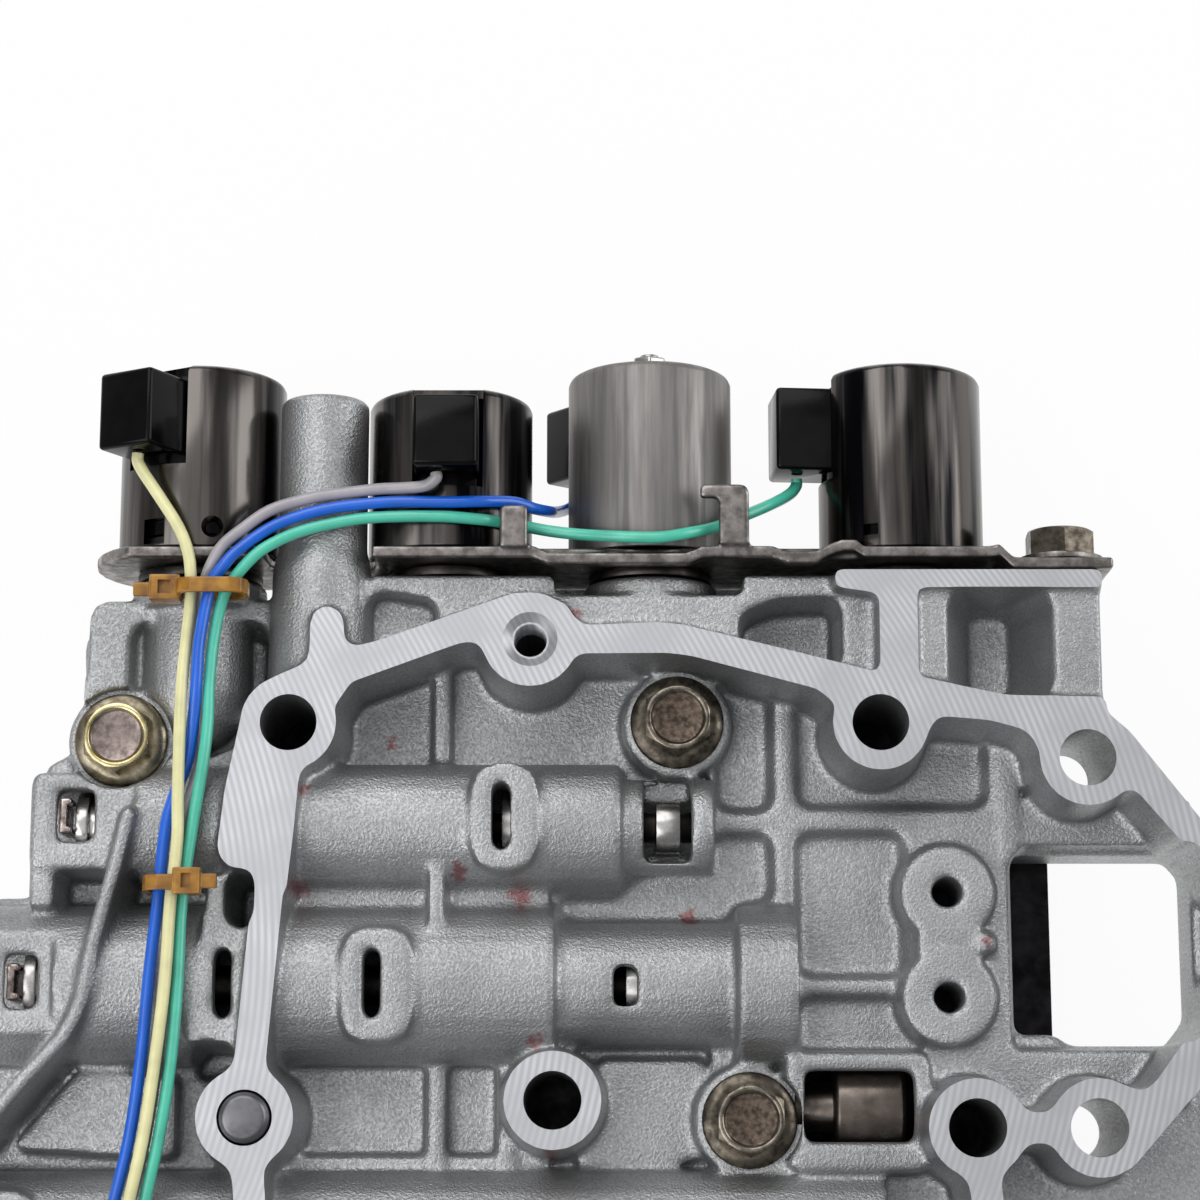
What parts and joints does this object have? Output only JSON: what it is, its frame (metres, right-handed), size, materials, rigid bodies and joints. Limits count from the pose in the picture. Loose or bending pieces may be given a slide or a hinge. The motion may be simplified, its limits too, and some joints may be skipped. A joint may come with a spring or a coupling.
{
  "type": "automatic transmission valve body",
  "caption": "Cast valve body with a milled rail, spool valves in cross bores, solenoids on its top edge and a bundle of lead wires.",
  "frame": {"origin": "on the rear casting's rest face, under the middle of the rail", "axes": "+X along the valve bores towards the rectangular opening, +Y towards the solenoids, +Z out of the milled rail"},
  "size_m": [0.2063, 0.1861, 0.0478],
  "materials": {
    "cast_aluminium": "as cast, with a milled rail face",
    "plate_steel": "dark bare sheet",
    "stamped_steel": "bare stamped sheet, lightly worn",
    "can_steel": "drawn, dark and shiny",
    "black_moulding": "moulded, slightly glossy",
    "zinc_steel": "yellow zinc plated",
    "brown_steel": "oxidised brown",
    "turned_steel": "turned and ground",
    "spring_steel": "bare spring wire",
    "seal_rubber": "black rubber",
    "amber_nylon": "translucent amber",
    "yellow_pvc": "pale yellow insulation",
    "grey_pvc": "grey insulation",
    "blue_pvc": "blue insulation",
    "green_pvc": "green insulation"
  },
  "bodies": {
    "valve_body": {"front_casting": "cast_aluminium", "rear_casting": "cast_aluminium", "separator_plate": "plate_steel", "retainer_plate": "stamped_steel", "plate_washer": "stamped_steel", "plate_bolt": "brown_steel", "solenoid_3_nut": "stamped_steel", "face_bolt_left": "zinc_steel", "face_bolt_middle": "brown_steel", "face_bolt_right": "brown_steel", "face_bolt_lower": "brown_steel", "dowel_pin": "turned_steel", "case_connector": "black_moulding", "cable_tie_upper": "amber_nylon", "cable_tie_lower": "amber_nylon", "wire_yellow": "yellow_pvc", "wire_grey": "grey_pvc", "wire_blue": "blue_pvc", "wire_green": "green_pvc", "retainer_clip_a": "stamped_steel", "bore_plug_a": "turned_steel", "spring_a": "spring_steel", "retainer_clip_b": "stamped_steel", "bore_plug_b": "turned_steel", "spring_b": "spring_steel", "retainer_clip_c": "stamped_steel", "bore_plug_c": "turned_steel", "spring_c": "spring_steel", "solenoid_1_can": "can_steel", "solenoid_1_coil": "black_moulding", "solenoid_1_base": "turned_steel", "solenoid_1_seal": "seal_rubber", "solenoid_2_can": "can_steel", "solenoid_2_coil": "black_moulding", "solenoid_2_base": "turned_steel", "solenoid_2_seal": "seal_rubber", "solenoid_3_can": "can_steel", "solenoid_3_coil": "black_moulding", "solenoid_3_base": "turned_steel", "solenoid_3_seal": "seal_rubber", "solenoid_4_can": "can_steel", "solenoid_4_coil": "black_moulding", "solenoid_4_base": "turned_steel", "solenoid_4_seal": "seal_rubber"},
    "spool_a_body": {"spool_a": "turned_steel"},
    "spool_b_body": {"spool_b": "turned_steel"},
    "spool_c_body": {"spool_c": "turned_steel"},
    "shuttle": {"shuttle_piston": "turned_steel"},
    "plunger_1": {"solenoid_1_plunger": "turned_steel"},
    "plunger_2": {"solenoid_2_plunger": "turned_steel"},
    "plunger_3": {"solenoid_3_plunger": "turned_steel"},
    "plunger_4": {"solenoid_4_plunger": "turned_steel"},
    "ball_1": {"check_ball_1": "turned_steel"},
    "ball_2": {"check_ball_2": "turned_steel"},
    "ball_3": {"check_ball_3": "turned_steel"}
  },
  "joints": [
    {"name": "spool_a_slide", "type": "slide", "parent": "valve_body", "child": "spool_a_body", "axis": [1, 0, 0], "range_m": [-0.004, 0], "stiffness_N_per_m": 500, "springref_m": 0.004, "deforming": ["spring_a"]},
    {"name": "spool_b_slide", "type": "slide", "parent": "valve_body", "child": "spool_b_body", "axis": [1, 0, 0], "range_m": [-0.004, 0], "stiffness_N_per_m": 800, "springref_m": 0.004, "deforming": ["spring_b"]},
    {"name": "spool_c_slide", "type": "slide", "parent": "valve_body", "child": "spool_c_body", "axis": [1, 0, 0], "range_m": [-0.005, 0], "stiffness_N_per_m": 600, "springref_m": 0.004, "deforming": ["spring_c"]},
    {"name": "shuttle_slide", "type": "slide", "parent": "valve_body", "child": "shuttle", "axis": [1, 0, 0], "range_m": [0, 0.003]},
    {"name": "plunger_1_slide", "type": "slide", "parent": "valve_body", "child": "plunger_1", "axis": [0, 1, 0], "range_m": [-0.0012, 0]},
    {"name": "plunger_2_slide", "type": "slide", "parent": "valve_body", "child": "plunger_2", "axis": [0, 1, 0], "range_m": [-0.0012, 0]},
    {"name": "plunger_3_slide", "type": "slide", "parent": "valve_body", "child": "plunger_3", "axis": [0, 1, 0], "range_m": [-0.0012, 0]},
    {"name": "plunger_4_slide", "type": "slide", "parent": "valve_body", "child": "plunger_4", "axis": [0, 1, 0], "range_m": [-0.0012, 0]},
    {"name": "check_ball_1_lift", "type": "slide", "parent": "valve_body", "child": "ball_1", "axis": [0, 0, 1], "range_m": [-0.0012, 0]},
    {"name": "check_ball_2_lift", "type": "slide", "parent": "valve_body", "child": "ball_2", "axis": [0, 0, 1], "range_m": [-0.0012, 0]},
    {"name": "check_ball_3_lift", "type": "slide", "parent": "valve_body", "child": "ball_3", "axis": [0, 0, 1], "range_m": [-0.0012, 0]}
  ]
}
